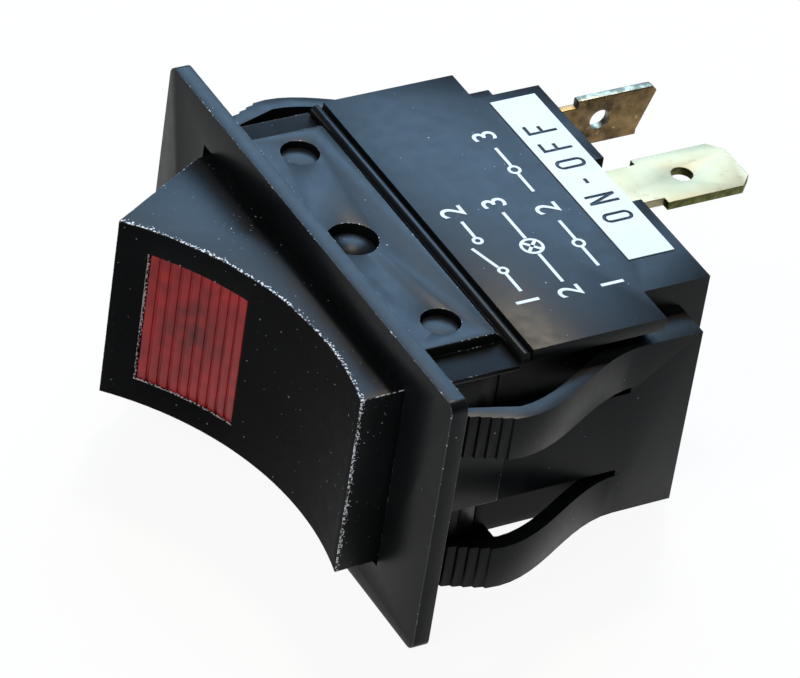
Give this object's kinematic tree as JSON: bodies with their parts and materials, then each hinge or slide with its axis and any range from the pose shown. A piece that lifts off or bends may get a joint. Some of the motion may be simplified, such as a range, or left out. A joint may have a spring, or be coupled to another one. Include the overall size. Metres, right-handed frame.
{
  "type": "panel rocker switch",
  "caption": "Snap-in panel rocker switch with a rectangular bezel, a hollow-faced rocker with a ribbed red lens, sprung side latches and push-on tabs at the rear.",
  "frame": {"origin": "centre of the cut-out, on the bezel's rear face, which seats on the panel", "axes": "+X along the bezel's length towards the pressed end of the rocker, +Y to the rear through the panel, +Z towards the printed broad side"},
  "size_m": [0.0484, 0.0526, 0.025],
  "materials": {
    "frame_plastic": "moulded black nylon, semi-gloss with a fine grain",
    "base_plastic": "moulded black nylon, semi-gloss with a fine grain",
    "rocker_plastic": "moulded black nylon, semi-gloss",
    "red_lens": "ribbed translucent red acrylic",
    "holder_plastic": "natural nylon",
    "lamp_ceramic": "pale ceramic",
    "lamp_glass": "clear glass",
    "resistor_body": "tan lacquer",
    "copper_alloy": "spring bronze",
    "plunger_plastic": "natural acetal",
    "spring_steel": "drawn wire",
    "contact_brass": "rolled strip",
    "contact_silver": "silver alloy",
    "pale_brass": "pale tin-washed brass",
    "dark_bronze": "dull, tarnished",
    "white_print": "pad-printed white ink"
  },
  "bodies": {
    "switch_body": {"bezel_frame": "frame_plastic", "rear_base": "base_plastic", "fixed_button": "contact_silver", "centre_terminal": "pale_brass", "end_terminal": "dark_bronze", "lamp_terminal": "dark_bronze", "feed_leaf": "copper_alloy", "return_leaf": "copper_alloy", "print_field": "white_print"},
    "rocker_body": {"rocker": "rocker_plastic", "lens": "red_lens", "lamp_holder": "holder_plastic", "lamp_base": "lamp_ceramic", "lamp_glass": "lamp_glass", "lamp_resistor": "resistor_body", "feed_shoe": "copper_alloy", "return_shoe": "copper_alloy", "plunger_spring": "spring_steel"},
    "plunger_body": {"plunger": "plunger_plastic"},
    "see_saw_body": {"see_saw_contact": "contact_brass", "moving_button": "contact_silver"}
  },
  "joints": [
    {"name": "rocker_tilt", "type": "hinge", "parent": "switch_body", "child": "rocker_body", "pos_m": [0, 0.003, 0], "axis": [0, 0, 1], "range_deg": [-31, 0]},
    {"name": "plunger_slide", "type": "slide", "parent": "rocker_body", "child": "plunger_body", "axis": [-0.2672, 0.9636, 0], "range_m": [-0.001, 0], "stiffness_N_per_m": 300, "springref_m": 0.003, "deforming": ["plunger_spring"]},
    {"name": "see_saw_rock", "type": "hinge", "parent": "switch_body", "child": "see_saw_body", "pos_m": [0, 0.0174, 0], "axis": [0, 0, 1], "range_deg": [0, 15]}
  ],
  "couplings": [
    {"joint": "see_saw_rock", "follows": "rocker_tilt", "ratio": -0.48387}
  ]
}
